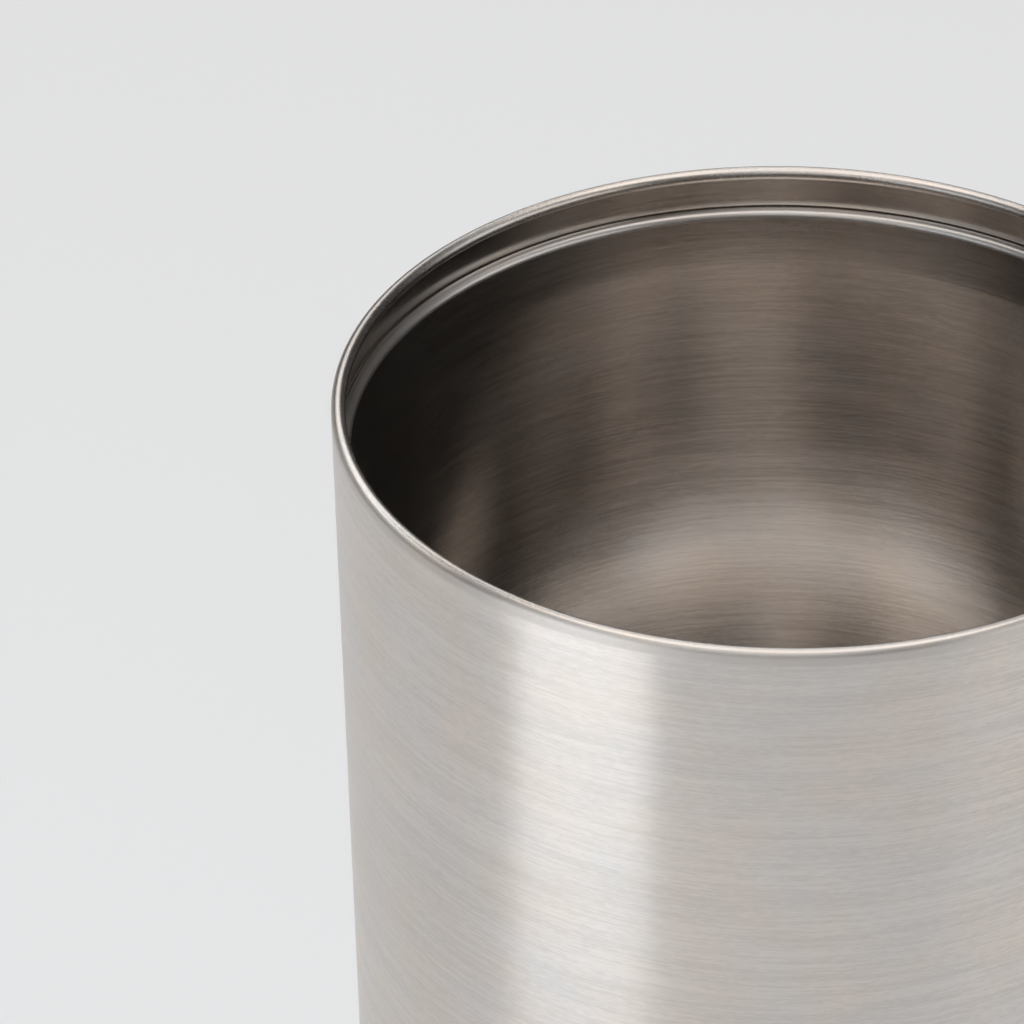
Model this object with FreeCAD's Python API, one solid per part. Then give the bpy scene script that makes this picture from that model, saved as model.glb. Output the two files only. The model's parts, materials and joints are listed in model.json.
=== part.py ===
"""Champagne bucket on a floor stand, in millimetres.

A heavy round base carries a slim tube column. The column ends in a round head plate with a
centring boss. The double-walled bucket stands on the plate: a cup in its underside drops over
the boss, so it lifts straight off. Inside the bucket hangs a deep liner. Its flange rests on a
shelf below the rolled rim, which was closed over it.

Frame: +Z up, the origin on the floor under the column's axis. Every solid is turned about Z.
"""

import math
import os
from typing import NamedTuple

import FreeCAD
import Part


class Bolt(NamedTuple):
    """Radii and sizes of a countersunk bolt with a hexagon socket."""

    shank: float
    head: float
    socket_flats: float
    socket_depth: float


# ---- driving dimensions -------------------------------------------------------------------
# base
BASE_RADIUS = 150.0
COVER_SHEET = 1.5
COVER_EDGE_RADIUS = 5.0
COVER_FLOOR_GAP = 4.5
BALLAST_THICKNESS = 14.0
FLOOR_RING_HEIGHT = 3.0
FLOOR_RING_WIDTH = 16.0
FLOOR_RING_INSET = 8.0
# column
COLUMN_RADIUS = 21.2
COLUMN_WALL = 1.5
COLUMN_LENGTH = 420.0
PLUG_HEIGHT = 30.0
ROSETTE_WIDTH = 12.8
ROSETTE_HEIGHT = 8.0
ROSETTE_ROUND = 3.0
SCREW_RADIUS = 1.5
SCREW_SOCKET_FLATS = 1.5
SCREW_SOCKET_DEPTH = 1.5
SCREW_SINK = 1.0
# head
HEAD_PLATE_INSET = 10.0
HEAD_PLATE_THICKNESS = 5.0
HEAD_PLATE_ROUND = 1.5
PAD_THICKNESS = 2.0
PAD_EDGE_INSET = 4.0
PAD_BOSS_GAP = 14.0
BOSS_RADIUS = 36.0
BOSS_HEIGHT = 12.0
BOSS_CHAMFER = 3.0
DOWEL_RADIUS = 2.5
DOWEL_DEPTH = 6.0
# bolts
BASE_BOLT = Bolt(shank=6.0, head=12.0, socket_flats=8.0, socket_depth=4.0)
HEAD_BOLT = Bolt(shank=5.0, head=10.0, socket_flats=6.0, socket_depth=3.5)
BOLT_ENGAGEMENT = 18.0
BOLT_HEAD_LAND = 1.0
BOLT_SINK = 0.5
BOLT_END_CHAMFER = 1.0
# bucket
BUCKET_RADIUS = 100.0
BUCKET_HEIGHT = 244.0
SHELL_SHEET = 1.0
SHELL_CORNER_RADIUS = 6.0
SHELL_LIP_WIDTH = 8.0
RIM_ROLL_RADIUS = 1.6
RIM_ROLL_TURN = 250.0
PAN_SHEET = 1.2
CUP_SHEET = 1.2
CUP_FLANGE_WIDTH = 10.0
FOOT_RING_HEIGHT = 2.5
FOOT_RING_WIDTH = 6.0
# liner and what carries it
LINER_SHEET = 0.8
LEDGE_DROP = 11.0
LEDGE_WIDTH = 2.4
LEDGE_EDGE_RADIUS = 1.7
NECK_HEIGHT = 14.0
NECK_TAPER = 0.5
LINER_CORNER_RADIUS = 30.0
SEAL_THICKNESS = 1.2
SHELF_HEIGHT = 14.0
# clearances, on the radius where they are round
SLIP = 0.1  # parts slid together and then fixed
THREAD_GAP = 0.05  # a thread in its tapped hole, both drawn plain
BOLT_GAP = 0.5  # a bolt in a plain hole
LINER_GAP = 0.4  # the liner's flange in the shell
CUP_GAP = 0.6  # the cup around the boss
CUP_CEILING_GAP = 3.0  # the cup above the boss
LINER_FLOOR_GAP = 2.0  # the liner's floor above the cup
FOOT_RING_INSET = 1.0  # the rubber ring from the lip's edge

# ---- levels, from the floor up ------------------------------------------------------------
BALLAST_BOTTOM = FLOOR_RING_HEIGHT
BALLAST_TOP = BALLAST_BOTTOM + BALLAST_THICKNESS
COVER_TOP = BALLAST_TOP + COVER_SHEET
COLUMN_TOP = COVER_TOP + COLUMN_LENGTH
HEAD_TOP = COLUMN_TOP + HEAD_PLATE_THICKNESS
BOSS_TOP = HEAD_TOP + BOSS_HEIGHT
PAN_BOTTOM = HEAD_TOP + PAD_THICKNESS
PAN_TOP = PAN_BOTTOM + PAN_SHEET
CUP_CEILING = BOSS_TOP + CUP_CEILING_GAP
CUP_TOP = CUP_CEILING + CUP_SHEET
LIP_BOTTOM = PAN_BOTTOM - SHELL_SHEET
RIM_TOP = LIP_BOTTOM + BUCKET_HEIGHT
LEDGE_TOP = RIM_TOP - LEDGE_DROP
SEAL_TOP = LEDGE_TOP - LINER_SHEET
SHELF_TOP = SEAL_TOP - SEAL_THICKNESS
LINER_FLOOR = CUP_TOP + LINER_FLOOR_GAP + LINER_SHEET
BASE_BOLT_FACE = BALLAST_BOTTOM + BOLT_SINK
HEAD_BOLT_FACE = BOSS_TOP - BOLT_SINK
# ---- radii that follow --------------------------------------------------------------------
COVER_BORE = BASE_RADIUS - COVER_SHEET
COLUMN_BORE = COLUMN_RADIUS - COLUMN_WALL
DOWEL_CIRCLE = (HEAD_BOLT.shank + COLUMN_BORE) / 2
SHELL_BORE = BUCKET_RADIUS - SHELL_SHEET
SHELL_FLAT_RADIUS = BUCKET_RADIUS - SHELL_CORNER_RADIUS
LIP_BORE = SHELL_FLAT_RADIUS - SHELL_LIP_WIDTH
HEAD_PLATE_RADIUS = LIP_BORE - HEAD_PLATE_INSET
CUP_BORE = BOSS_RADIUS + CUP_GAP
FLANGE_RADIUS = SHELL_BORE - LINER_GAP
NECK_RADIUS = FLANGE_RADIUS - LEDGE_WIDTH
LINER_BORE = NECK_RADIUS - NECK_TAPER
SHELF_BORE = NECK_RADIUS + LEDGE_EDGE_RADIUS + SLIP

UP = FreeCAD.Vector(0, 0, 1)


def on_circle(centre, radius, degrees):
    """The point at an angle on a circle about a centre, both as (radius, height)."""
    angle = math.radians(degrees)
    return (centre[0] + radius * math.cos(angle), centre[1] + radius * math.sin(angle))


def arc(centre, radius, start, end):
    """An arc from a start angle to an end angle in degrees, as an entry of an outline."""
    middle = on_circle(centre, radius, (start + end) / 2)
    return ("arc", on_circle(centre, radius, start), middle, on_circle(centre, radius, end))


def turned(*outline):
    """A solid turned about Z from a closed outline of corners (radius, height) and arcs."""
    edges = []
    last = outline[-1]
    here = last[3] if last[0] == "arc" else last
    for entry in outline:
        begin = entry[1] if entry[0] == "arc" else entry
        if math.dist(here, begin) > 1e-6:
            edges.append(Part.makeLine(in_section(here), in_section(begin)))
        here = begin
        if entry[0] == "arc":
            points = [in_section(point) for point in entry[1:]]
            edges.append(Part.Arc(*points).toShape())
            here = entry[3]
    face = Part.Face(Part.Wire(edges))
    return face.revolve(FreeCAD.Vector(0, 0, 0), UP, 360)


def in_section(point):
    """The place in the XZ plane of a section's (radius, height)."""
    return FreeCAD.Vector(point[0], 0, point[1])


def ring(inner, outer, bottom, top):
    """A plain ring between two radii and two levels."""
    return turned((inner, bottom), (outer, bottom), (outer, top), (inner, top))


def hexagon(flats, place, along):
    """A hexagonal prism on a place, which runs along a vector."""
    corners = [on_circle((0, 0), flats / math.sqrt(3), 60 * k) for k in range(7)]
    outline = Part.makePolygon([FreeCAD.Vector(*corner, 0) for corner in corners])
    prism = Part.Face(outline).extrude(FreeCAD.Vector(0, 0, along.Length))
    prism.Placement = FreeCAD.Placement(place, FreeCAD.Rotation(UP, along))
    return prism


def countersunk_bolt(bolt, face, towards, through):
    """A countersunk bolt with a hexagon socket.

    face is the level of its head, towards is +1 when the shank runs up from there and -1 when
    it runs down, and through is the thickness that it clamps.
    """
    cone = BOLT_HEAD_LAND + bolt.head - bolt.shank
    end = through + BOLT_ENGAGEMENT
    body = turned(
        (0, face),
        (bolt.head, face),
        (bolt.head, face + towards * BOLT_HEAD_LAND),
        (bolt.shank, face + towards * cone),
        (bolt.shank, face + towards * (end - BOLT_END_CHAMFER)),
        (bolt.shank - BOLT_END_CHAMFER, face + towards * end),
        (0, face + towards * end),
    )
    along = FreeCAD.Vector(0, 0, towards * bolt.socket_depth)
    return body.cut(hexagon(bolt.socket_flats, FreeCAD.Vector(0, 0, face), along))


# ---- base -----------------------------------------------------------------------------------
def floor_ring():
    """Rubber ring that the base stands on."""
    outer = COVER_BORE - FLOOR_RING_INSET
    return ring(outer - FLOOR_RING_WIDTH, outer, 0.0, FLOOR_RING_HEIGHT)


def ballast_disc():
    """Cast disc inside the cover, with a countersunk hole for the base bolt."""
    outer = COVER_BORE - SLIP
    hole = BASE_BOLT.shank + BOLT_GAP
    sink = BASE_BOLT.head + BOLT_GAP
    land = BASE_BOLT_FACE + BOLT_HEAD_LAND
    return turned(
        (sink, BALLAST_BOTTOM),
        (outer, BALLAST_BOTTOM),
        (outer, BALLAST_TOP - COVER_EDGE_RADIUS),
        (outer - COVER_EDGE_RADIUS, BALLAST_TOP),
        (hole, BALLAST_TOP),
        (hole, land + sink - hole),
        (sink, land),
    )


def base_cover():
    """Spun sheet cover with a rounded edge and a short skirt."""
    hole = BASE_BOLT.shank + BOLT_GAP
    centre = (BASE_RADIUS - COVER_EDGE_RADIUS, COVER_TOP - COVER_EDGE_RADIUS)
    return turned(
        (COVER_BORE, COVER_FLOOR_GAP),
        (BASE_RADIUS, COVER_FLOOR_GAP),
        arc(centre, COVER_EDGE_RADIUS, 0, 90),
        (hole, COVER_TOP),
        (hole, BALLAST_TOP),
        arc(centre, COVER_EDGE_RADIUS - COVER_SHEET, 90, 0),
    )


def base_bolt():
    """Bolt that clamps ballast and cover to the foot plug."""
    return countersunk_bolt(BASE_BOLT, BASE_BOLT_FACE, +1, COVER_TOP - BASE_BOLT_FACE)


# ---- column ---------------------------------------------------------------------------------
def column_tube():
    """Column tube, closed at both ends by its plugs."""
    return ring(COLUMN_BORE, COLUMN_RADIUS, COVER_TOP, COLUMN_TOP)


def foot_plug():
    """Plug welded into the tube's foot, tapped for the base bolt."""
    bore = BASE_BOLT.shank + THREAD_GAP
    return ring(bore, COLUMN_BORE - SLIP, COVER_TOP, COVER_TOP + PLUG_HEIGHT)


def head_plug():
    """Plug welded into the tube's top, tapped for the head bolt and drilled for the dowels."""
    bore = HEAD_BOLT.shank + THREAD_GAP
    plug = ring(bore, COLUMN_BORE - SLIP, COLUMN_TOP - PLUG_HEIGHT, COLUMN_TOP)
    return plug.cut(dowel_holes())


def screw_place(face, towards):
    """Level of the set screw in a rosette whose flat side is at level face."""
    return face + towards * (ROSETTE_HEIGHT - ROSETTE_ROUND) / 2


def rosette(face, towards):
    """Turned collar around the tube, with its flat side at level face."""
    bore = COLUMN_RADIUS + SLIP
    outer = COLUMN_RADIUS + ROSETTE_WIDTH
    back = face + towards * ROSETTE_HEIGHT
    centre = (outer - ROSETTE_ROUND, back - towards * ROSETTE_ROUND)
    collar = turned(
        (bore, face),
        (outer, face),
        arc(centre, ROSETTE_ROUND, 0, towards * 90),
        (bore, back),
    )
    start = FreeCAD.Vector(0, 0, screw_place(face, towards))
    along = FreeCAD.Vector(0, 1, 0)
    return collar.cut(Part.makeCylinder(SCREW_RADIUS + THREAD_GAP, outer + 1, start, along))


def set_screw(face, towards):
    """Headless screw at the back of a rosette, which holds it on the tube."""
    tip = COLUMN_RADIUS + THREAD_GAP
    length = ROSETTE_WIDTH - THREAD_GAP - SCREW_SINK
    height = screw_place(face, towards)
    start = FreeCAD.Vector(0, tip, height)
    screw = Part.makeCylinder(SCREW_RADIUS, length, start, FreeCAD.Vector(0, 1, 0))
    inward = FreeCAD.Vector(0, -SCREW_SOCKET_DEPTH, 0)
    return screw.cut(
        hexagon(SCREW_SOCKET_FLATS, FreeCAD.Vector(0, tip + length, height), inward)
    )


def rosette_screws():
    """The set screws of both rosettes."""
    return Part.makeCompound([set_screw(COVER_TOP, +1), set_screw(COLUMN_TOP, -1)])


# ---- head -----------------------------------------------------------------------------------
def dowel_pair(radius, bottom, top):
    """Two upright rods, one either side of the head bolt."""
    places = [FreeCAD.Vector(side * DOWEL_CIRCLE, 0, bottom) for side in (-1, 1)]
    rods = [Part.makeCylinder(radius, top - bottom, place, UP) for place in places]
    return Part.makeCompound(rods)


def head_dowels():
    """Pins through the head plate, which keep plate and boss from turning on the plug."""
    return dowel_pair(DOWEL_RADIUS, COLUMN_TOP - DOWEL_DEPTH, HEAD_TOP + DOWEL_DEPTH)


def dowel_holes():
    """The holes for the dowels, a little wider and deeper than the pins."""
    bottom = COLUMN_TOP - DOWEL_DEPTH - SLIP
    return dowel_pair(DOWEL_RADIUS + THREAD_GAP, bottom, HEAD_TOP + DOWEL_DEPTH + SLIP)


def head_plate():
    """Round plate that carries the bucket."""
    hole = HEAD_BOLT.shank + BOLT_GAP
    flat = HEAD_PLATE_RADIUS - HEAD_PLATE_ROUND
    plate = turned(
        (hole, COLUMN_TOP),
        arc((flat, COLUMN_TOP + HEAD_PLATE_ROUND), HEAD_PLATE_ROUND, -90, 0),
        arc((flat, HEAD_TOP - HEAD_PLATE_ROUND), HEAD_PLATE_ROUND, 0, 90),
        (hole, HEAD_TOP),
    )
    return plate.cut(dowel_holes())


def head_pad():
    """Rubber ring on the head plate, under the bucket."""
    outer = HEAD_PLATE_RADIUS - PAD_EDGE_INSET
    return ring(BOSS_RADIUS + PAD_BOSS_GAP, outer, HEAD_TOP, PAN_BOTTOM)


def centring_boss():
    """Boss that the cup under the bucket drops over."""
    hole = HEAD_BOLT.shank + BOLT_GAP
    sink = HEAD_BOLT.head + BOLT_GAP
    land = HEAD_BOLT_FACE - BOLT_HEAD_LAND
    boss = turned(
        (hole, HEAD_TOP),
        (BOSS_RADIUS, HEAD_TOP),
        (BOSS_RADIUS, BOSS_TOP - BOSS_CHAMFER),
        (BOSS_RADIUS - BOSS_CHAMFER, BOSS_TOP),
        (sink, BOSS_TOP),
        (sink, land),
        (hole, land - (sink - hole)),
    )
    return boss.cut(dowel_holes())


def head_bolt():
    """Bolt that clamps boss and head plate to the head plug."""
    return countersunk_bolt(HEAD_BOLT, HEAD_BOLT_FACE, -1, HEAD_BOLT_FACE - COLUMN_TOP)


# ---- bucket ---------------------------------------------------------------------------------
def outer_shell():
    """Brushed outer wall with a rolled rim and a turned-in bottom lip."""
    corner = (SHELL_FLAT_RADIUS, LIP_BOTTOM + SHELL_CORNER_RADIUS)
    roll = (BUCKET_RADIUS - RIM_ROLL_RADIUS, RIM_TOP - RIM_ROLL_RADIUS)
    return turned(
        (LIP_BORE, LIP_BOTTOM),
        arc(corner, SHELL_CORNER_RADIUS, -90, 0),
        arc(roll, RIM_ROLL_RADIUS, 0, RIM_ROLL_TURN),
        arc(roll, RIM_ROLL_RADIUS - SHELL_SHEET, RIM_ROLL_TURN, 0),
        arc(corner, SHELL_CORNER_RADIUS - SHELL_SHEET, 0, -90),
        (LIP_BORE, LIP_BOTTOM + SHELL_SHEET),
    )


def base_pan():
    """Flat disc welded onto the lip, with the hole that the boss passes."""
    return ring(CUP_BORE, SHELL_FLAT_RADIUS - SLIP, PAN_BOTTOM, PAN_TOP)


def socket_cup():
    """Pressed cup on the pan, which drops over the centring boss."""
    wall = CUP_BORE + CUP_SHEET
    flange = wall + CUP_FLANGE_WIDTH
    return turned(
        (CUP_BORE, PAN_TOP),
        (flange, PAN_TOP),
        (flange, PAN_TOP + CUP_SHEET),
        (wall, PAN_TOP + CUP_SHEET),
        (wall, CUP_TOP),
        (0, CUP_TOP),
        (0, CUP_CEILING),
        (CUP_BORE, CUP_CEILING),
    )


def bucket_foot_ring():
    """Rubber ring under the lip, for standing the bucket on a table."""
    inner = LIP_BORE + FOOT_RING_INSET
    return ring(inner, inner + FOOT_RING_WIDTH, LIP_BOTTOM - FOOT_RING_HEIGHT, LIP_BOTTOM)


def shelf_ring():
    """Band welded inside the shell, whose top edge carries the liner."""
    return ring(SHELF_BORE, SHELL_BORE - SLIP, SHELF_TOP - SHELF_HEIGHT, SHELF_TOP)


def liner_seal():
    """Silicone ring between the shelf and the liner's flange."""
    return ring(SHELF_BORE, SHELL_BORE - SLIP, SHELF_TOP, SEAL_TOP)


# ---- liner ----------------------------------------------------------------------------------
def liner():
    """Deep-drawn inner bucket, with a rounded shoulder, a tapered neck and a round corner."""
    sheet = LINER_SHEET
    edge = (NECK_RADIUS + LEDGE_EDGE_RADIUS, LEDGE_TOP - LEDGE_EDGE_RADIUS)
    neck_end = LEDGE_TOP - NECK_HEIGHT
    corner = (LINER_BORE - LINER_CORNER_RADIUS, LINER_FLOOR + LINER_CORNER_RADIUS)
    return turned(
        (FLANGE_RADIUS, SEAL_TOP),
        (FLANGE_RADIUS, LEDGE_TOP),
        arc(edge, LEDGE_EDGE_RADIUS, 90, 180),
        (LINER_BORE, neck_end),
        arc(corner, LINER_CORNER_RADIUS, 0, -90),
        (0, LINER_FLOOR),
        (0, LINER_FLOOR - sheet),
        arc(corner, LINER_CORNER_RADIUS + sheet, -90, 0),
        (LINER_BORE + sheet, neck_end),
        arc(edge, LEDGE_EDGE_RADIUS - sheet, 180, 90),
    )


NODES = {
    "floor_ring": floor_ring,
    "ballast_disc": ballast_disc,
    "base_cover": base_cover,
    "base_bolt": base_bolt,
    "column_tube": column_tube,
    "foot_plug": foot_plug,
    "foot_rosette": lambda: rosette(COVER_TOP, +1),
    "head_plug": head_plug,
    "head_rosette": lambda: rosette(COLUMN_TOP, -1),
    "rosette_screws": rosette_screws,
    "head_plate": head_plate,
    "head_dowels": head_dowels,
    "centring_boss": centring_boss,
    "head_bolt": head_bolt,
    "head_pad": head_pad,
    "outer_shell": outer_shell,
    "base_pan": base_pan,
    "socket_cup": socket_cup,
    "bucket_foot_ring": bucket_foot_ring,
    "shelf_ring": shelf_ring,
    "liner_seal": liner_seal,
    "liner": liner,
}


def main():
    """Writes one STEP file for each node."""
    os.makedirs("parts", exist_ok=True)
    for name, make in NODES.items():
        shape = make()
        if not shape.isValid():
            raise ValueError(name + " is not a valid shape")
        shape.exportStep("parts/" + name + ".step")
        print(f"{name}: {len(shape.Solids)} solid(s), {shape.Volume / 1000:.2f} cm3")


if __name__ == "__main__":
    main()
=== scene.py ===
"""Champagne bucket on a floor stand: its turned shells, finishes and a plain studio.

The construction comes from the frame, which gives every place and outer size. This script adds
finely turned shells for the pieces that show, a finish for every piece, a pale floor, soft
light and the camera. All lengths are in metres.
"""

import json
import logging
import math
from dataclasses import dataclass, field
from enum import Enum

import bmesh
import bpy
from mathutils import Matrix, Vector

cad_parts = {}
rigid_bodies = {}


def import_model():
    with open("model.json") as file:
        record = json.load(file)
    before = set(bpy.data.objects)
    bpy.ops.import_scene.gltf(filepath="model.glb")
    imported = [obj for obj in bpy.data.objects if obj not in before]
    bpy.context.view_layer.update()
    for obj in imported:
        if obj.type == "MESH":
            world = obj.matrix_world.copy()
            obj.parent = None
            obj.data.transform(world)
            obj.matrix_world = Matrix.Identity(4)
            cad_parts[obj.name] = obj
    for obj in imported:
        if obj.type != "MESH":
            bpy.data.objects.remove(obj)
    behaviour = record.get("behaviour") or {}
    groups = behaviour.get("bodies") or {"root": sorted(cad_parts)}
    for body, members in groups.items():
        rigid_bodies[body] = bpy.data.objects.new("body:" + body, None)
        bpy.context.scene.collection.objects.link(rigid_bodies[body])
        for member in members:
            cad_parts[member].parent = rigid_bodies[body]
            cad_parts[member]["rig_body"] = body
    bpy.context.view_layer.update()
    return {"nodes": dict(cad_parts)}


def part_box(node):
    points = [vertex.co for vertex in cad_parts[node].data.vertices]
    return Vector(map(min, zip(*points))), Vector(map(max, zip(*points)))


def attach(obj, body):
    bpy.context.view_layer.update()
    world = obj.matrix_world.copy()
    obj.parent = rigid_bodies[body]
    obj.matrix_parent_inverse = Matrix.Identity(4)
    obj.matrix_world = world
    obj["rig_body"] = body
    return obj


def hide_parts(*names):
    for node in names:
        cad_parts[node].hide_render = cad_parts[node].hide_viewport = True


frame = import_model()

LOG = logging.getLogger("bucket_stand")
MM = 0.001
ON_AXIS = 1e-7  # a radius below this is a point on the axis

Point = tuple[float, float]
Colour = tuple[float, float, float]


# ---- shader expressions ---------------------------------------------------------------------
class Value:
    """A number in a node tree that takes part in Python arithmetic."""

    def __init__(self, tree: "Tree", socket: bpy.types.NodeSocket) -> None:
        """Wraps a socket.

        Args:
            tree: The tree that the socket belongs to.
            socket: The output that carries the number.
        """
        self.tree = tree
        self.socket = socket

    def calculate(self, operation: str, *operands: "Value | float") -> "Value":
        """Adds one Math node.

        Args:
            operation: The Math node's operation.
            *operands: Its inputs, in order.

        Returns:
            The node's result.
        """
        inputs = {index: operand for index, operand in enumerate(operands)}
        node = self.tree.node("ShaderNodeMath", {"operation": operation}, inputs)
        return Value(self.tree, node.outputs[0])

    def __add__(self, other: "Value | float") -> "Value":
        """Returns self + other."""
        return self.calculate("ADD", self, other)

    def __radd__(self, other: float) -> "Value":
        """Returns other + self."""
        return self.calculate("ADD", other, self)

    def __sub__(self, other: "Value | float") -> "Value":
        """Returns self - other."""
        return self.calculate("SUBTRACT", self, other)

    def __rsub__(self, other: float) -> "Value":
        """Returns other - self."""
        return self.calculate("SUBTRACT", other, self)

    def __mul__(self, other: "Value | float") -> "Value":
        """Returns self * other."""
        return self.calculate("MULTIPLY", self, other)

    def __truediv__(self, other: "Value | float") -> "Value":
        """Returns self / other."""
        return self.calculate("DIVIDE", self, other)

    def __pow__(self, other: "Value | float") -> "Value":
        """Returns self to the power of other."""
        return self.calculate("POWER", self, other)

    def between(self, low: float, high: float) -> "Value":
        """Fades with this number.

        Args:
            low: Where the fade is 0.
            high: Where it is 1. It may be less than low.

        Returns:
            A smooth fade from 0 to 1.
        """
        if low > high:
            return 1.0 - self.between(high, low)
        node = self.tree.node(
            "ShaderNodeMapRange",
            {"interpolation_type": "SMOOTHSTEP"},
            {"Value": self, "From Min": low, "From Max": high},
        )
        return Value(self.tree, node.outputs["Result"])


class Tree:
    """A node tree of a material or the world, emptied and ready to be filled."""

    def __init__(self, nodes_of: bpy.types.Material | bpy.types.World) -> None:
        """Empties the tree.

        Args:
            nodes_of: The material or world that owns the tree.
        """
        nodes_of.use_nodes = True
        self.tree = nodes_of.node_tree
        self.tree.nodes.clear()

    def node(
        self, kind: str, settings: dict | None = None, inputs: dict | None = None
    ) -> bpy.types.Node:
        """Adds one node.

        Args:
            kind: The node's type.
            settings: Properties of the node, set before its inputs.
            inputs: For each socket, by name or place, a Value, a socket or a constant.

        Returns:
            The new node.
        """
        made = self.tree.nodes.new(kind)
        for name, setting in (settings or {}).items():
            setattr(made, name, setting)
        for key, given in (inputs or {}).items():
            socket = made.inputs[key]
            if isinstance(given, Value):
                self.tree.links.new(given.socket, socket)
            elif isinstance(given, bpy.types.NodeSocket):
                self.tree.links.new(given, socket)
            else:
                socket.default_value = given
        return made

    def value(self, node: bpy.types.Node, output: str | int = 0) -> Value:
        """Returns a node's output as a number.

        Args:
            node: The node.
            output: The output's name or place.
        """
        return Value(self, node.outputs[output])

    def mix(self, factor: Value | float, first: object, second: object) -> bpy.types.NodeSocket:
        """Blends two colours.

        Args:
            factor: 0 for the first colour, 1 for the second.
            first: A colour of four numbers, or a socket.
            second: A colour of four numbers, or a socket.

        Returns:
            The blended colour.
        """
        made = self.node("ShaderNodeMix", {"data_type": "RGBA"}, {0: factor, 6: first, 7: second})
        return made.outputs[2]

    def noise(self, vector: bpy.types.NodeSocket, w: Value | float, detail: float) -> Value:
        """Adds four-dimensional noise.

        Args:
            vector: The first three coordinates.
            w: The fourth.
            detail: How many finer layers are added.

        Returns:
            A number about 0.5.
        """
        made = self.node(
            "ShaderNodeTexNoise",
            {"noise_dimensions": "4D"},
            {"Vector": vector, "W": w, "Scale": 1.0, "Detail": detail, "Roughness": 0.55},
        )
        return Value(self, made.outputs[0])


@dataclass
class Turned:
    """Coordinates of a piece turned about Z: across the brush marks and along them."""

    tree: Tree
    x: Value = field(init=False)
    y: Value = field(init=False)
    z: Value = field(init=False)
    radius: Value = field(init=False)

    def __post_init__(self) -> None:
        """Adds the nodes that read the place on the piece."""
        place = self.tree.node("ShaderNodeTexCoord").outputs["Object"]
        parts = self.tree.node("ShaderNodeSeparateXYZ", None, {0: place})
        self.x = self.tree.value(parts, 0)
        self.y = self.tree.value(parts, 1)
        self.z = self.tree.value(parts, 2)
        self.radius = (self.x * self.x + self.y * self.y) ** 0.5

    def marks(self, length: float, width: float, detail: float = 1.0, seed: float = 0.0) -> Value:
        """Noise drawn out round the axis.

        Args:
            length: How long a mark is, round the piece.
            width: How wide it is, up the wall or across a flat face.
            detail: How many finer layers are added.
            seed: Shifts the pattern.

        Returns:
            A number about 0.5.
        """
        vector = self.tree.node(
            "ShaderNodeCombineXYZ",
            None,
            {0: self.x * (1 / length), 1: self.y * (1 / length), 2: self.z * (1 / width) + seed},
        )
        return self.tree.noise(vector.outputs[0], self.radius * (1 / width), detail)

    def cloud(self, size: float, seed: float = 0.0) -> Value:
        """Soft noise, the same in every direction.

        Args:
            size: How large its features are.
            seed: Shifts the pattern.

        Returns:
            A number about 0.5.
        """
        scale = 1 / size
        vector = self.tree.node(
            "ShaderNodeCombineXYZ",
            None,
            {0: self.x * scale, 1: self.y * scale, 2: self.z * scale + seed},
        )
        return self.tree.noise(vector.outputs[0], seed, 2.0)


def rgba(colour: Colour, gain: float = 1.0) -> tuple[float, float, float, float]:
    """Returns a colour times a gain, with full alpha.

    Args:
        colour: Red, green and blue.
        gain: What each is multiplied by.
    """
    return (colour[0] * gain, colour[1] * gain, colour[2] * gain, 1.0)


# ---- finishes -------------------------------------------------------------------------------
class Lay(Enum):
    """How the light spreads on a metal finish."""

    BRUSHED = "across the brush marks"
    EVEN = "evenly"


@dataclass(frozen=True)
class Layer:
    """One layer of brush marks: its size in a finish's dashes and pitches, and its two shares."""

    length: float
    width: float
    detail: float
    seed: float
    tone: float = 0.0
    relief: float = 0.0


FINE = Layer(1.0, 1.0, 2.0, 0.0, tone=0.55, relief=0.6)
LONG = Layer(9.0, 1.6, 1.0, 7.0, tone=0.5, relief=0.5)
BROAD = Layer(30.0, 14.0, 2.0, 19.0, tone=0.35)
SCRATCH = Layer(6.0, 1.2, 0.0, 31.0, relief=0.5)
SCRATCH_SHOWN = (0.70, 0.80)

MEAN = 0.5  # the middle of every noise
GRAIN_SIZE = 0.16 * MM
GRAIN_SEED = 3.0
GRAIN_TONE = 1.2
GRAIN_RELIEF = 3.0
GRAIN_FADE = (-0.4 * MM, 0.2 * MM)
MARKS_TONE_LOST = 0.8  # how far the marks fade where the grain takes over
MARKS_RELIEF_LOST = 0.85

TONE_GAIN = 3.0  # how hard the streaks step between the two tones
DRIFT_SIZE = 22 * MM
DRIFT_SEED = 11.0
DRIFT_SHOWN = (0.35, 0.65)
HANDLED_SIZE = 38 * MM
HANDLED_SEED = 23.0
HANDLED_SHOWN = (0.45, 0.75)
STREAK_ROUGHNESS = 0.5  # share of the roughness that the streaks vary
SMOOTH_SHARE = 0.5  # share of the roughness that a smooth inner face loses
SMOOTH_FADE = 0.3 * MM
ACROSS_MARKS = 0.25  # a quarter turn: the light spreads across the marks


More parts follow.
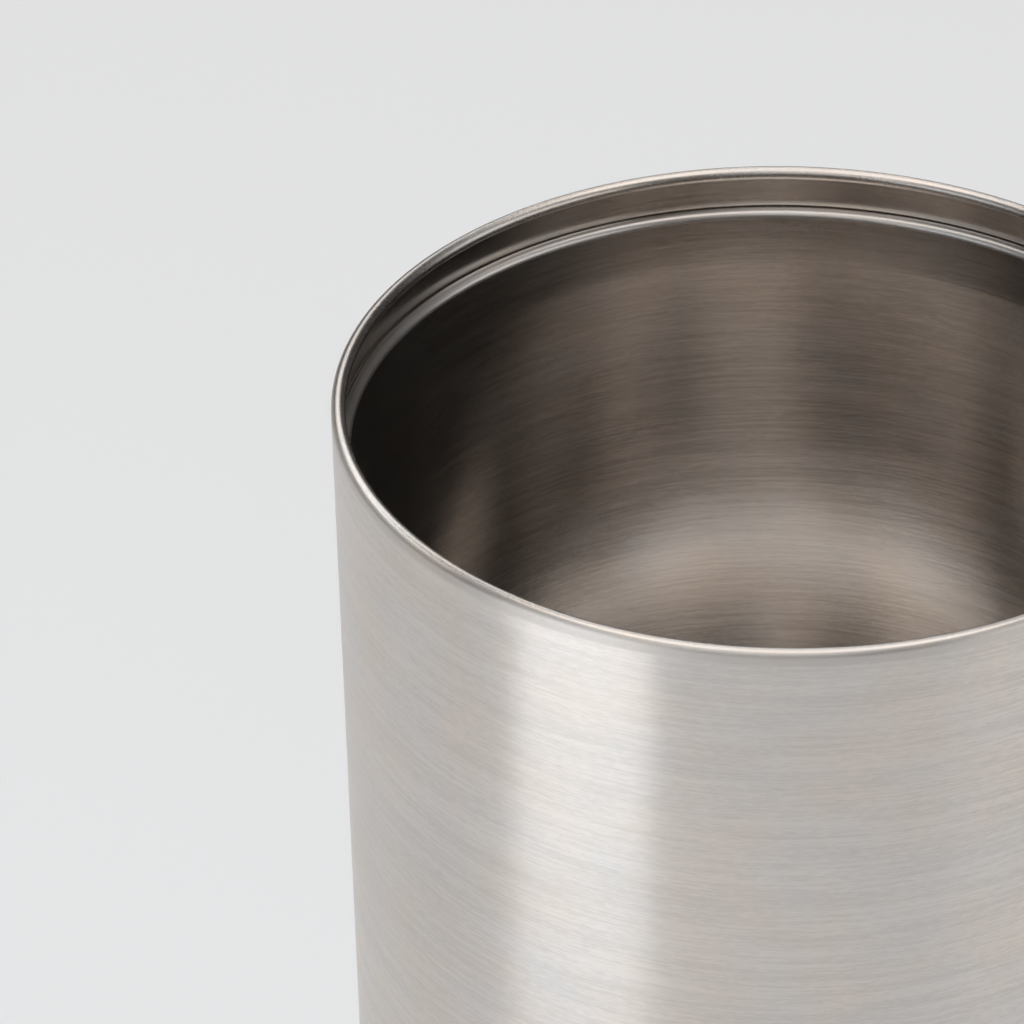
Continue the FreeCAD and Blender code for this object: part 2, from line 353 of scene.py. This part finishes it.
@dataclass(frozen=True)
class Steel:
    """Stainless steel with marks that run round the axis.

    The brush marks are fine grooves, so the light spreads up and down the wall across them.
    Above a level the marks can give way to an even grain, and inside a radius the face can be
    smoother.
    """

    name: str
    colour: Colour
    roughness: float
    lay: Lay = Lay.BRUSHED
    spread: float = 0.75
    contrast: float = 0.06
    groove: float = 7.0e-6
    dash: float = 2.4 * MM
    pitch: float = 0.36 * MM
    tint: float = 0.02
    smudge: float = 0.03
    grained_above: float | None = None
    satin: float = 0.10
    smooth_within: float | None = None

    def material(self) -> bpy.types.Material:
        """Builds the finish.

        Returns:
            The new material.
        """
        made = bpy.data.materials.new(self.name)
        tree = Tree(made)
        turned = Turned(tree)
        fine, long, broad, scratch = (
            self.marks(turned, layer) for layer in (FINE, LONG, BROAD, SCRATCH)
        )
        streaks = (
            (fine - MEAN) * FINE.tone + (long - MEAN) * LONG.tone + (broad - MEAN) * BROAD.tone
        )
        height = (
            fine * FINE.relief
            + long * LONG.relief
            + scratch.between(*SCRATCH_SHOWN) * SCRATCH.relief
        )
        rim = None
        if self.grained_above is not None:
            start, end = (self.grained_above + fade for fade in GRAIN_FADE)
            rim = turned.z.between(start, end)
            grain = turned.cloud(GRAIN_SIZE, GRAIN_SEED)
            streaks = streaks * (1.0 - rim * MARKS_TONE_LOST) + (grain - MEAN) * rim * GRAIN_TONE
            height = height * (1.0 - rim * MARKS_RELIEF_LOST) + grain * rim * GRAIN_RELIEF
        handled = turned.cloud(HANDLED_SIZE, HANDLED_SEED).between(*HANDLED_SHOWN)
        roughness = (
            self.roughness + streaks * (self.roughness * STREAK_ROUGHNESS) + handled * self.smudge
        )
        if self.smooth_within is not None:
            inside = turned.radius.between(self.smooth_within, self.smooth_within - SMOOTH_FADE)
            roughness = roughness - inside * (self.roughness * SMOOTH_SHARE)
        if rim is not None:
            roughness = roughness + rim * self.satin
        bump = tree.node(
            "ShaderNodeBump",
            None,
            {"Strength": 1.0, "Distance": self.groove, "Height": height},
        )
        shader = tree.node(
            "ShaderNodeBsdfPrincipled",
            None,
            {
                "Base Color": self.tone(tree, turned, streaks),
                "Metallic": 1.0,
                "Roughness": roughness,
                "Anisotropic": self.spread if self.lay is Lay.BRUSHED else 0.0,
                "Anisotropic Rotation": ACROSS_MARKS,
                "Normal": bump.outputs[0],
            },
        )
        tree.node("ShaderNodeOutputMaterial", None, {"Surface": shader.outputs[0]})
        return made

    def marks(self, turned: Turned, layer: Layer) -> Value:
        """Draws one layer of this finish's marks.

        Args:
            turned: The coordinates of the piece.
            layer: The layer.

        Returns:
            A number about 0.5.
        """
        length = self.dash * layer.length
        return turned.marks(length, self.pitch * layer.width, layer.detail, layer.seed)

    def tone(self, tree: Tree, turned: Turned, streaks: Value) -> bpy.types.NodeSocket:
        """Colours the metal.

        Args:
            tree: The material's tree.
            turned: The coordinates of the piece.
            streaks: The brush marks, about 0.

        Returns:
            The metal's colour, with its streaks and a slow drift from cool to warm.
        """
        level = (streaks * TONE_GAIN + MEAN).between(0.0, 1.0)
        dark = rgba(self.colour, 1 - self.contrast)
        light = rgba(self.colour, 1 + self.contrast)
        red, green, blue = self.colour
        warm = rgba((red * (1 + self.tint), green, blue * (1 - self.tint)))
        cool = rgba((red * (1 - self.tint), green, blue * (1 + self.tint)))
        place = turned.cloud(DRIFT_SIZE, DRIFT_SEED).between(*DRIFT_SHOWN)
        drift = tree.node(
            "ShaderNodeVectorMath",
            {"operation": "DIVIDE"},
            {0: tree.mix(place, cool, warm), 1: self.colour},
        )
        return tree.node(
            "ShaderNodeMix",
            {"data_type": "RGBA", "blend_type": "MULTIPLY"},
            {0: 1.0, 6: tree.mix(level, dark, light), 7: drift.outputs[0]},
        ).outputs[2]


@dataclass(frozen=True)
class Moulded:
    """Rubber or silicone with a fine moulded grain and a little dust."""

    name: str
    colour: Colour
    roughness: float
    grain: float = 0.5 * MM
    depth: float = 2.0e-5
    dust: float = 0.25
    dust_size: float = 18 * MM
    dust_tone: float = 0.12
    mottle: float = 0.2

    def material(self) -> bpy.types.Material:
        """Builds the finish.

        Returns:
            The new material.
        """
        made = bpy.data.materials.new(self.name)
        tree = Tree(made)
        turned = Turned(tree)
        grain = turned.cloud(self.grain)
        mottled = (grain - MEAN) * self.mottle
        dusty = turned.cloud(self.dust_size, 5.0).between(0.45, 0.8) * self.dust
        pale = rgba(tuple(part + self.dust_tone for part in self.colour))
        bump = tree.node(
            "ShaderNodeBump",
            None,
            {"Strength": 1.0, "Distance": self.depth, "Height": grain},
        )
        shader = tree.node(
            "ShaderNodeBsdfPrincipled",
            None,
            {
                "Base Color": tree.mix(dusty + mottled, rgba(self.colour), pale),
                "Roughness": self.roughness + mottled,
                "Specular IOR Level": 0.4,
                "Normal": bump.outputs[0],
            },
        )
        tree.node("ShaderNodeOutputMaterial", None, {"Surface": shader.outputs[0]})
        return made


@dataclass(frozen=True)
class Cast:
    """Cast iron under matt paint, with the sand's grain and worn high spots."""

    name: str
    colour: Colour
    bare: Colour
    roughness: float
    sand_size: float = 1.1 * MM
    swell_size: float = 14 * MM
    depth: float = 1.2e-4
    wear: float = 0.6
    polish: float = 0.2

    def material(self) -> bpy.types.Material:
        """Builds the finish.

        Returns:
            The new material.
        """
        made = bpy.data.materials.new(self.name)
        tree = Tree(made)
        turned = Turned(tree)
        sand = turned.cloud(self.sand_size)
        swell = turned.cloud(self.swell_size, 9.0)
        worn = (sand * 0.6 + swell * 0.4).between(0.62, 0.72) * self.wear
        bump = tree.node(
            "ShaderNodeBump",
            None,
            {"Strength": 1.0, "Distance": self.depth, "Height": sand + swell},
        )
        shader = tree.node(
            "ShaderNodeBsdfPrincipled",
            None,
            {
                "Base Color": tree.mix(worn, rgba(self.colour), rgba(self.bare)),
                "Metallic": worn,
                "Roughness": self.roughness - worn * self.polish,
                "Normal": bump.outputs[0],
            },
        )
        tree.node("ShaderNodeOutputMaterial", None, {"Surface": shader.outputs[0]})
        return made


Finish = Steel | Moulded | Cast


# ---- turned meshes --------------------------------------------------------------------------
@dataclass(frozen=True)
class Corner:
    """A corner of a section, (radius, height), which may be rounded."""

    r: float
    z: float
    round: float = 0.0
    steps: int = 6


@dataclass(frozen=True)
class Sweep:
    """An arc of a section about a centre, between two angles in degrees."""

    r: float
    z: float
    radius: float
    start: float
    end: float
    steps: int

    def points(self) -> list[Point]:
        """Returns the arc's points, its two ends included."""
        turn = self.end - self.start
        angles = [math.radians(self.start + turn * k / self.steps) for k in range(self.steps + 1)]
        return [
            (self.r + self.radius * math.cos(angle), self.z + self.radius * math.sin(angle))
            for angle in angles
        ]


Outline = list[Corner | Sweep]


@dataclass
class Lathe:
    """Turns closed sections about Z into smooth meshes."""

    segments: int = 360
    sharp_angle: float = math.radians(28)

    def fillet(self, before: Point, corner: Corner, after: Point) -> list[Point]:
        """Rounds one corner.

        Args:
            before: The point before the corner.
            corner: The corner and its radius.
            after: The point after it.

        Returns:
            The points that take the corner's place.
        """
        here = Vector((corner.r, corner.z))
        if corner.round <= 0:
            return [(here.x, here.y)]
        into = (Vector(before) - here).normalized()
        away = (Vector(after) - here).normalized()
        half = into.angle(away) / 2
        centre = here + (into + away).normalized() * (corner.round / math.sin(half))
        reach = corner.round / math.tan(half)
        first = here + into * reach - centre
        last = here + away * reach - centre
        turn = first.angle_signed(last)
        points = []
        for step in range(corner.steps + 1):
            arm = Matrix.Rotation(-turn * step / corner.steps, 2) @ first
            points.append((centre.x + arm.x, centre.y + arm.y))
        return points

    def section(self, outline: Outline) -> list[Point]:
        """Returns the points of a closed section of corners and arcs."""
        flat = [part.points() if isinstance(part, Sweep) else [(part.r, part.z)] for part in outline]
        points: list[Point] = []
        for index, part in enumerate(outline):
            if isinstance(part, Sweep):
                points += flat[index]
            else:
                before = flat[index - 1][-1]
                after = flat[(index + 1) % len(outline)][0]
                points += self.fillet(before, part, after)
        return points

    def turn(self, name: str, outline: Outline) -> bpy.types.Object:
        """Makes a closed mesh from a section, about the frame's Z axis.

        Args:
            name: The piece's name.
            outline: The section, counter-clockwise with the radius to the right.

        Returns:
            The new object.
        """
        mesh = bmesh.new()
        rings = []
        for r, z in self.section(outline):
            if r < ON_AXIS:
                rings.append([mesh.verts.new((0.0, 0.0, z))])
                continue
            ring = []
            for step in range(self.segments):
                angle = 2 * math.pi * step / self.segments
                ring.append(mesh.verts.new((r * math.cos(angle), r * math.sin(angle), z)))
            rings.append(ring)
        for index, lower in enumerate(rings):
            upper = rings[(index + 1) % len(rings)]
            self.join(mesh, lower, upper)
        bmesh.ops.recalc_face_normals(mesh, faces=mesh.faces)
        data = bpy.data.meshes.new(name)
        mesh.to_mesh(data)
        mesh.free()
        data.shade_smooth()
        data.set_sharp_from_angle(angle=self.sharp_angle)
        piece = bpy.data.objects.new(name, data)
        bpy.context.scene.collection.objects.link(piece)
        return piece

    @staticmethod
    def join(mesh: bmesh.types.BMesh, lower: list, upper: list) -> None:
        """Joins two rings with faces.

        Args:
            mesh: The mesh that holds them.
            lower: A ring's vertices, or a single one on the axis.
            upper: The next ring's.
        """
        if len(lower) == 1 and len(upper) == 1:
            return
        count = max(len(lower), len(upper))
        for step in range(count):
            ahead = (step + 1) % count
            if len(lower) == 1:
                mesh.faces.new((lower[0], upper[ahead], upper[step]))
            elif len(upper) == 1:
                mesh.faces.new((lower[step], lower[ahead], upper[0]))
            else:
                mesh.faces.new((lower[step], lower[ahead], upper[ahead], upper[step]))


@dataclass(frozen=True)
class Extent:
    """What the frame says about a turned node: its outer radius and its two levels."""

    radius: float
    bottom: float
    top: float

    @classmethod
    def of(cls, node: str) -> "Extent":
        """Returns the extent of a node of the frame."""
        low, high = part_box(node)
        return cls(high.x, low.z, high.z)


@dataclass
class Workshop:
    """Makes pieces and dresses them, and keeps one material for each finish."""

    lathe: Lathe = field(default_factory=Lathe)
    materials: dict[str, bpy.types.Material] = field(default_factory=dict)

    def dress(self, piece: bpy.types.Object, finish: Finish) -> None:
        """Gives a piece its finish.

        Args:
            piece: The piece.
            finish: Its finish, made once and then shared.
        """
        if finish.name not in self.materials:
            self.materials[finish.name] = finish.material()
        piece.data.materials.clear()
        piece.data.materials.append(self.materials[finish.name])

    def turned(self, node: str, outline: Outline, finish: Finish) -> None:
        """Turns a shell that stands for a node of the frame.

        Args:
            node: The node, which gives the piece's name and its body.
            outline: The shell's section.
            finish: Its finish.
        """
        piece = self.lathe.turn(node + "_shell", outline)
        self.dress(piece, finish)
        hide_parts(node)
        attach(piece, frame["nodes"][node]["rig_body"])
        LOG.info("%s: %d faces, %s", piece.name, len(piece.data.polygons), finish.name)

    def kept(self, node: str, finish: Finish) -> None:
        """Dresses a node of the frame that keeps its own shape.

        Args:
            node: The node.
            finish: Its finish.
        """
        self.dress(frame["nodes"][node], finish)
        LOG.info("%s: kept, %s", node, finish.name)


# ---- bucket ---------------------------------------------------------------------------------
@dataclass
class Bucket:
    """The double-walled bucket: shell, liner and what closes it below."""

    shop: Workshop
    shell_sheet: float = 1.0 * MM
    corner: float = 6.0 * MM
    lip_width: float = 8.0 * MM
    roll: float = 1.6 * MM
    roll_turn: float = 250.0
    liner_sheet: float = 0.8 * MM
    ledge_width: float = 2.4 * MM
    ledge_edge: float = 1.7 * MM
    neck_height: float = 14.0 * MM
    neck_taper: float = 0.5 * MM
    neck_round: float = 4.0 * MM
    floor_corner: float = 30.0 * MM
    pan_hole: float = 36.6 * MM
    cup_sheet: float = 1.2 * MM
    cup_round: float = 0.4 * MM
    foot_width: float = 6.0 * MM
    foot_edge: float = 0.8 * MM
    edge: float = 0.15 * MM

    def build(self) -> None:
        """Builds and dresses every piece of the bucket."""
        self.shell()
        self.liner()
        self.pan()
        self.cup()
        self.foot()
        self.shop.kept("shelf_ring", DRAWN_STEEL)
        self.shop.kept("liner_seal", SILICONE)

    def shell(self) -> None:
        """The brushed outer wall with its rolled rim."""
        size = Extent.of("outer_shell")
        bore = size.radius - self.corner - self.lip_width
        sheet = self.shell_sheet
        inner = size.radius - sheet
        roll_r = size.radius - self.roll
        roll_z = size.top - self.roll
        finish = Steel(
            "shell_brushed_steel",
            SHELL_COLOUR,
            roughness=0.30,
            spread=0.85,
            contrast=0.085,
            groove=9.0e-6,
            smooth_within=size.radius - sheet / 2,
            grained_above=size.top - 2 * self.roll,
        )
        outline = [
            Corner(bore, size.bottom, self.edge, 2),
            Corner(size.radius, size.bottom, self.corner, 12),
            Sweep(roll_r, roll_z, self.roll, 0, self.roll_turn, 40),
            Sweep(roll_r, roll_z, self.roll - sheet, self.roll_turn, 0, 16),
            Corner(inner, size.bottom + sheet, self.corner - sheet, 10),
            Corner(bore, size.bottom + sheet, self.edge, 2),
        ]
        self.shop.turned("outer_shell", outline, finish)

    def liner(self) -> None:
        """The deep-drawn liner with its round shoulder, neck and rounded floor corner."""
        size = Extent.of("liner")
        sheet = self.liner_sheet
        mouth = size.radius - self.ledge_width
        bore = mouth - self.neck_taper
        neck_end = size.top - self.neck_height
        floor = size.bottom + sheet
        outline = [
            Corner(size.radius, size.top - sheet, self.edge, 2),
            Corner(size.radius, size.top, self.edge, 2),
            Corner(mouth, size.top, self.ledge_edge, 12),
            Corner(bore, neck_end, self.neck_round, 4),
            Corner(bore, floor, self.floor_corner, 20),
            Corner(0.0, floor),
            Corner(0.0, size.bottom),
            Corner(bore + sheet, size.bottom, self.floor_corner + sheet, 20),
            Corner(bore + sheet, neck_end, self.neck_round, 4),
            Corner(mouth + sheet, size.top - sheet, self.ledge_edge - sheet, 4),
        ]
        finish = Steel(
            "liner_satin_steel",
            LINER_COLOUR,
            roughness=0.17,
            spread=0.4,
            contrast=0.09,
            groove=6.0e-6,
            grained_above=size.top - self.ledge_edge,
            satin=0.18,
        )
        self.shop.turned("liner", outline, finish)

    def pan(self) -> None:
        """The disc that closes the bucket below."""
        size = Extent.of("base_pan")
        self.shop.turned("base_pan", band(self.pan_hole, size, self.edge), DRAWN_STEEL)

    def cup(self) -> None:
        """The pressed cup that drops over the boss."""
        size = Extent.of("socket_cup")
        sheet = self.cup_sheet
        outline = [
            Corner(self.pan_hole, size.bottom, self.edge, 2),
            Corner(size.radius, size.bottom, self.edge, 2),
            Corner(size.radius, size.bottom + sheet, self.edge, 2),
            Corner(self.pan_hole + sheet, size.bottom + sheet, 0.6 * MM, 4),
            Corner(self.pan_hole + sheet, size.top, self.cup_round + sheet, 8),
            Corner(0.0, size.top),
            Corner(0.0, size.top - sheet),
            Corner(self.pan_hole, size.top - sheet, self.cup_round, 4),
        ]
        self.shop.turned("socket_cup", outline, DRAWN_STEEL)

    def foot(self) -> None:
        """The rubber ring under the lip."""
        size = Extent.of("bucket_foot_ring")
        outline = band(size.radius - self.foot_width, size, self.foot_edge, 5)
        self.shop.turned("bucket_foot_ring", outline, RUBBER)


def band(inner: float, size: Extent, edge: float, steps: int = 2) -> Outline:
    """A plain ring's section.

    Args:
        inner: The ring's inner radius.
        size: Its outer radius and levels.
        edge: How much its edges are rounded.
        steps: How finely.

    Returns:
        The section.
    """
    return [
        Corner(inner, size.bottom, edge, steps),
        Corner(size.radius, size.bottom, edge, steps),
        Corner(size.radius, size.top, edge, steps),
        Corner(inner, size.top, edge, steps),
    ]


# ---- head, column and base ------------------------------------------------------------------
@dataclass
class Head:
    """The plate that carries the bucket, its pad and the centring boss."""

    shop: Workshop
    bolt_hole: float = 5.5 * MM
    sink_radius: float = 10.5 * MM
    sink_land: float = 1.5 * MM
    boss_chamfer: float = 3.0 * MM
    plate_round: float = 1.5 * MM
    pad_inner: float = 50.0 * MM
    pad_edge: float = 0.5 * MM
    boss_edge: float = 0.6 * MM
    edge: float = 0.2 * MM

    def build(self) -> None:
        """Builds and dresses every piece of the head."""
        plate = Extent.of("head_plate")
        self.shop.turned("head_plate", band(self.bolt_hole, plate, self.plate_round, 8), PLATE_STEEL)
        pad = Extent.of("head_pad")
        self.shop.turned("head_pad", band(self.pad_inner, pad, self.pad_edge, 4), RUBBER)
        self.boss()
        for node in ("head_plug", "head_dowels"):
            self.shop.kept(node, TURNED_STEEL)
        self.shop.kept("head_bolt", ZINC)

    def boss(self) -> None:
        """The turned boss with its countersink."""
        size = Extent.of("centring_boss")
        land = size.top - self.sink_land
        outline = [
            Corner(self.bolt_hole, size.bottom, self.edge, 2),
            Corner(size.radius, size.bottom, self.edge, 2),
            Corner(size.radius, size.top - self.boss_chamfer, self.boss_edge, 4),
            Corner(size.radius - self.boss_chamfer, size.top, self.boss_edge, 4),
            Corner(self.sink_radius, size.top, self.edge, 2),
            Corner(self.sink_radius, land),
            Corner(self.bolt_hole, land - (self.sink_radius - self.bolt_hole)),
        ]
        self.shop.turned("centring_boss", outline, TURNED_STEEL)


@dataclass
class Column:
    """The tube with a collar at each end."""

    shop: Workshop
    wall: float = 1.5 * MM
    edge: float = 0.2 * MM

    def build(self) -> None:
        """Builds and dresses every piece of the column."""
        size = Extent.of("column_tube")
        outline = band(size.radius - self.wall, size, self.edge)
        self.shop.turned("column_tube", outline, COLUMN_STEEL)
        for node in ("foot_rosette", "head_rosette"):
            self.shop.kept(node, COLLAR_STEEL)
        self.shop.kept("foot_plug", TURNED_STEEL)
        self.shop.kept("rosette_screws", ZINC)


@dataclass
class Base:
    """The round foot: cover, ballast, bolt and floor ring."""

    shop: Workshop
    sheet: float = 1.5 * MM
    edge_radius: float = 5.0 * MM
    bolt_hole: float = 6.5 * MM
    ring_width: float = 16.0 * MM
    ring_edge: float = 0.8 * MM
    skirt_edge: float = 0.5 * MM
    edge: float = 0.2 * MM

    def build(self) -> None:
        """Builds and dresses every piece of the base."""
        self.cover()
        ring = Extent.of("floor_ring")
        outline = band(ring.radius - self.ring_width, ring, self.ring_edge, 5)
        self.shop.turned("floor_ring", outline, RUBBER)
        self.shop.kept("ballast_disc", CAST_IRON)
        self.shop.kept("base_bolt", ZINC)

    def cover(self) -> None:
        """The spun cover with its rounded edge and skirt."""
        size = Extent.of("base_cover")
        inner = size.radius - self.sheet
        outline = [
            Corner(inner, size.bottom, self.edge, 2),
            Corner(size.radius, size.bottom, self.skirt_edge, 4),
            Corner(size.radius, size.top, self.edge_radius, 16),
            Corner(self.bolt_hole, size.top, self.edge, 2),
            Corner(self.bolt_hole, size.top - self.sheet, self.edge, 2),
            Corner(inner, size.top - self.sheet, self.edge_radius - self.sheet, 10),
        ]
        self.shop.turned("base_cover", outline, SPUN_STEEL)


SHELL_COLOUR: Colour = (0.655, 0.610, 0.572)
LINER_COLOUR: Colour = (0.69, 0.655, 0.625)
DRAWN_STEEL = Steel("drawn_steel", (0.56, 0.55, 0.53), 0.34, spread=0.5, contrast=0.06)
SPUN_STEEL = Steel(
    "spun_steel", (0.61, 0.595, 0.57), 0.26, contrast=0.04, groove=3.0e-6, dash=14 * MM, pitch=0.4 * MM
)
PLATE_STEEL = Steel("plate_steel", (0.60, 0.585, 0.56), 0.28, contrast=0.04, groove=3.0e-6, dash=9 * MM)
COLUMN_STEEL = Steel("column_steel", (0.62, 0.60, 0.575), 0.26, contrast=0.04, groove=3.0e-6, dash=8 * MM)
COLLAR_STEEL = Steel("collar_steel", (0.63, 0.615, 0.59), 0.16, spread=0.5, contrast=0.05, dash=12 * MM)
TURNED_STEEL = Steel(
    "turned_steel", (0.58, 0.57, 0.55), 0.24, spread=0.6, contrast=0.05, groove=3.0e-6, pitch=0.5 * MM
)
ZINC = Steel("zinc_steel", (0.62, 0.64, 0.66), 0.3, Lay.EVEN, contrast=0.06, dash=1 * MM)
RUBBER = Moulded("black_rubber", (0.028, 0.028, 0.03), 0.62)
SILICONE = Moulded("grey_silicone", (0.45, 0.45, 0.44), 0.45, dust=0.1)
CAST_IRON = Cast("painted_cast_iron", (0.035, 0.036, 0.038), (0.3, 0.29, 0.28), 0.7)


# ---- studio ---------------------------------------------------------------------------------
@dataclass(frozen=True)
class Glow:
    """A bright part of the sky: its azimuth and two half angles, in degrees, and its level."""

    azimuth: float
    full: float
    none: float
    level: float


@dataclass(frozen=True)
class SoftLamp:
    """A soft rectangular lamp that the camera does not see."""

    name: str
    place: Vector
    aim: Vector
    size: Point
    radiance: float
    colour: Colour
    mirrored: bool = True

    def build(self) -> None:
        """Adds the lamp to the scene."""
        width, height = self.size
        light = bpy.data.lights.new(self.name, "AREA")
        light.shape = "RECTANGLE"
        light.size = width
        light.size_y = height
        light.energy = self.radiance * math.pi * width * height
        light.color = self.colour
        lamp = bpy.data.objects.new(self.name, light)
        turn = (self.aim - self.place).to_track_quat("-Z", "Y").to_matrix().to_4x4()
        lamp.matrix_world = Matrix.Translation(self.place) @ turn
        lamp.visible_camera = False
        lamp.visible_glossy = self.mirrored
        bpy.context.scene.collection.objects.link(lamp)


# Heights on the sky are sines of the angle above the horizon; each pair is a fade.
FRONT = Glow(-104, 14, 34, 1.2)
RIGHT = Glow(0, 12, 24, 0.5)
BEHIND = Glow(126, 42, 52, 2.0)
LOW_FRONT = Glow(-94, 40, 80, 0.1)
LOW_RIGHT = Glow(-25, 20, 32, 1.2)
RAISED = (0.42, 0.50)
FRONT_TOP = (0.75, 0.62)
BEHIND_TOP = (0.72, 0.62)
LOW_TOP = (0.50, 0.36)
OVERHEAD = (0.76, 0.92)
OVERHEAD_LEVEL = 1.8
ZENITH = (0.95, 0.99)
ZENITH_DIMMED = 0.65
ROOM_LEVEL = 0.05
BACKDROP_LEVEL = 0.80
WARM_ABOVE = (0.60, 0.90)
WARM: Colour = (1.0, 0.965, 0.935)
WHITE: Colour = (1.0, 1.0, 1.0)


@dataclass
class Studio:
    """A pale floor, a soft sky, two soft lamps and the camera."""

    rim_radius: float
    rim_top: float
    camera_offset: tuple[float, float, float] = (-0.6054, -8.5477, 5.4512)
    pitch: float = 33.993
    roll: float = -1.2145
    lens: float = 161.5
    sensor: float = 36.0
    far: float = 50.0
    floor_size: float = 12.0
    floor_colour: Colour = (0.80, 0.80, 0.80)

    def build(self) -> None:
        """Builds floor, light and camera."""
        self.floor()
        self.sky()
        self.lamps()
        self.camera()
        bpy.context.scene.view_settings.view_transform = "Standard"

    def floor(self) -> None:
        """A plain pale floor."""
        half = self.floor_size / 2
        data = bpy.data.meshes.new("studio_floor")
        corners = [(-half, -half, 0), (half, -half, 0), (half, half, 0), (-half, half, 0)]
        data.from_pydata(corners, [], [(0, 1, 2, 3)])
        material = bpy.data.materials.new("studio_floor")
        tree = Tree(material)
        shader = tree.node(
            "ShaderNodeBsdfPrincipled",
            None,
            {"Base Color": rgba(self.floor_colour), "Roughness": 0.8, "Specular IOR Level": 0.2},
        )
        tree.node("ShaderNodeOutputMaterial", None, {"Surface": shader.outputs[0]})
        data.materials.append(material)
        piece = bpy.data.objects.new("studio_floor", data)
        bpy.context.scene.collection.objects.link(piece)

    def sky(self) -> None:
        """A soft sky, brightest overhead and behind, which the camera sees as a plain backdrop."""
        world = bpy.data.worlds.new("studio")
        bpy.context.scene.world = world
        tree = Tree(world)
        way = tree.node("ShaderNodeTexCoord").outputs["Generated"]
        parts = tree.node("ShaderNodeSeparateXYZ", None, {0: way})
        side = tree.value(parts, 0)
        depth = tree.value(parts, 1)
        height = tree.value(parts, 2)
        flat = (side * side + depth * depth + 1e-6) ** 0.5

        def lobe(glow: Glow) -> Value:
            """Returns a glow's level near its azimuth and 0 beyond."""
            turn = math.radians(glow.azimuth)
            along = (side * math.cos(turn) + depth * math.sin(turn)) / flat
            none = math.cos(math.radians(glow.none))
            full = math.cos(math.radians(glow.full))
            return along.between(none, full) * glow.level

        front = (lobe(FRONT) + lobe(RIGHT)) * height.between(*FRONT_TOP)
        behind = lobe(BEHIND) * height.between(*BEHIND_TOP)
        low = (lobe(LOW_FRONT) + lobe(LOW_RIGHT)) * height.between(*LOW_TOP)
        overhead = height.between(*OVERHEAD) * OVERHEAD_LEVEL - height.between(*ZENITH) * ZENITH_DIMMED
        level = ROOM_LEVEL + (front + behind) * height.between(*RAISED) + overhead + low
        camera = tree.value(tree.node("ShaderNodeLightPath"), "Is Camera Ray")
        shown = level * (1.0 - camera) + camera * BACKDROP_LEVEL
        warm = tree.mix(height.between(*WARM_ABOVE), rgba(WHITE), rgba(WARM))
        colour = tree.mix(camera, warm, rgba(WHITE))
        shader = tree.node("ShaderNodeBackground", None, {"Color": colour, "Strength": shown})
        tree.node("ShaderNodeOutputWorld", None, {"Surface": shader.outputs[0]})

    def lamps(self) -> None:
        """A tall soft lamp at the front left, and a wide one above that only fills the floor."""
        azimuth = math.radians(-139.8)
        distance = 1.05
        height = 0.58
        place = Vector((math.cos(azimuth) * distance, math.sin(azimuth) * distance, height))
        axis = Vector((0, 0, height))
        above = Vector((-0.6, -0.3, 5.5))
        below = Vector((above.x, above.y, 0))
        SoftLamp("soft_lamp", place, axis, (0.64, 1.10), 1.08, (0.93, 1.0, 1.06)).build()
        SoftLamp("floor_fill", above, below, (4.0, 4.0), 1.6, (0.90, 1.0, 1.10), False).build()

    def camera(self) -> None:
        """The camera, placed from the rim."""
        pitch = math.radians(self.pitch)
        roll = math.radians(self.roll)
        ahead = Vector((0, math.cos(pitch), -math.sin(pitch)))
        level = Vector((1, 0, 0))
        above = level.cross(ahead)
        right = level * math.cos(roll) + above * math.sin(roll)
        up = above * math.cos(roll) - level * math.sin(roll)
        data = bpy.data.cameras.new("camera")
        data.sensor_width = self.sensor
        data.lens = self.lens
        data.clip_end = self.far
        camera = bpy.data.objects.new("camera", data)
        place = Vector((0, 0, self.rim_top)) + Vector(self.camera_offset) * self.rim_radius
        turn = Matrix((right, up, -ahead)).transposed().to_4x4()
        camera.matrix_world = Matrix.Translation(place) @ turn
        bpy.context.scene.collection.objects.link(camera)
        bpy.context.scene.camera = camera


def main() -> None:
    """Builds the bucket, the stand and the studio."""
    logging.basicConfig(level=logging.INFO, format="%(name)s: %(message)s")
    shop = Workshop()
    Bucket(shop).build()
    Head(shop).build()
    Column(shop).build()
    Base(shop).build()
    rim = Extent.of("outer_shell")
    Studio(rim.radius, rim.top).build()


if __name__ == "__main__":
    main()
